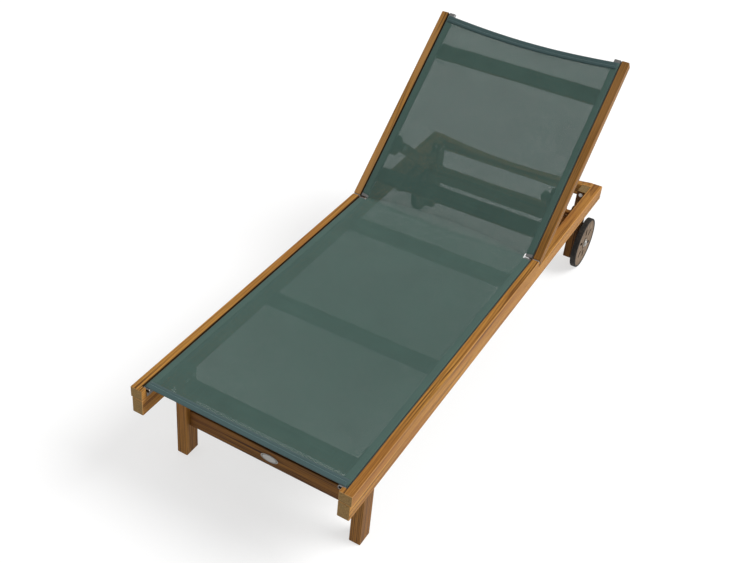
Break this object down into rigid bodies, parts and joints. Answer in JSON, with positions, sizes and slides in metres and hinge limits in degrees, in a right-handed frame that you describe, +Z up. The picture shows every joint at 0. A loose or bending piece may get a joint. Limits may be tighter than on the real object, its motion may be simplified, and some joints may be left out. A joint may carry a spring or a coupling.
{
  "type": "reclining sun lounger",
  "caption": "Reclining teak sun lounger with a mesh sling, a backrest held up by a prop on notched strips, and wheels at the head end.",
  "frame": {"origin": "on the floor, at the middle of the whole object's length and width", "axes": "+Z up, +Y from the foot end to the head end, +X to the right when seen from the foot end"},
  "size_m": [0.7, 1.8796, 0.8395],
  "materials": {
    "teak": "oiled hardwood, satin",
    "wheel_wood": "oiled hardwood, darker and matt",
    "sling_mesh": "open woven coated-yarn mesh, matt",
    "track_aluminium": "mill extrusion, satin",
    "stainless": "brushed stainless steel",
    "badge_metal": "blank satin plate",
    "tyre_rubber": "matt black rubber band",
    "hub_plastic": "pale moulded nylon",
    "cord_plastic": "dark round spline"
  },
  "bodies": {
    "frame": {"axle": "stainless", "axle_cap_left": "stainless", "axle_cap_right": "stainless", "axle_spacers": "stainless", "badge_plate": "badge_metal", "foot_leg_left": "teak", "foot_leg_right": "teak", "foot_rail": "teak", "foot_slat": "teak", "head_rail": "teak", "head_rail_bolts": "stainless", "hinge_pins": "stainless", "hinge_seat_leaf_left": "stainless", "hinge_seat_leaf_right": "stainless", "hinge_seat_screws": "stainless", "hinge_slat": "teak", "leg_bolts": "stainless", "lower_rail_left": "teak", "lower_rail_right": "teak", "middle_slat": "teak", "ratchet_screws": "stainless", "ratchet_strip_left": "teak", "ratchet_strip_right": "teak", "rear_leg_left": "teak", "rear_leg_right": "teak", "rear_rail": "teak", "seat_rail_left": "teak", "seat_rail_right": "teak", "seat_splines": "cord_plastic", "seat_track_left": "track_aluminium", "seat_track_right": "track_aluminium", "seat_track_screws": "stainless", "sling_seat": "sling_mesh"},
    "backrest": {"back_low_bar": "teak", "back_rail_left": "teak", "back_rail_right": "teak", "back_splines": "cord_plastic", "back_top_bar": "teak", "back_track_left": "track_aluminium", "back_track_right": "track_aluminium", "back_track_screws": "stainless", "hinge_back_leaf_left": "stainless", "hinge_back_leaf_right": "stainless", "hinge_back_screws": "stainless", "pivot_block_left": "teak", "pivot_block_right": "teak", "pivot_bolts": "stainless", "pivot_washers": "stainless", "sling_back": "sling_mesh"},
    "prop": {"prop_arm_left": "teak", "prop_arm_right": "teak", "prop_bar": "teak"},
    "wheel_left": {"wheel_bush_left": "hub_plastic", "wheel_disc_left": "wheel_wood", "wheel_tyre_left": "tyre_rubber"},
    "wheel_right": {"wheel_bush_right": "hub_plastic", "wheel_disc_right": "wheel_wood", "wheel_tyre_right": "tyre_rubber"}
  },
  "joints": [
    {"name": "backrest_hinge", "type": "hinge", "parent": "frame", "child": "backrest", "pos_m": [0, 0.26825, 0.3525], "axis": [1, 0, 0], "range_deg": [-40.2, 25.8]},
    {"name": "prop_hinge", "type": "hinge", "parent": "backrest", "child": "prop", "pos_m": [0, 0.45451, 0.47913], "axis": [1, 0, 0], "range_deg": [-46.5, 72]},
    {"name": "wheel_left_spin", "type": "hinge", "parent": "frame", "child": "wheel_left", "pos_m": [-0.3345, 0.84325, 0.0965], "axis": [1, 0, 0], "continuous": true},
    {"name": "wheel_right_spin", "type": "hinge", "parent": "frame", "child": "wheel_right", "pos_m": [0.3345, 0.84325, 0.0965], "axis": [1, 0, 0], "continuous": true}
  ],
  "couplings": [
    {"joint": "prop_hinge", "follows": "backrest_hinge", "ratio": -1.777}
  ]
}
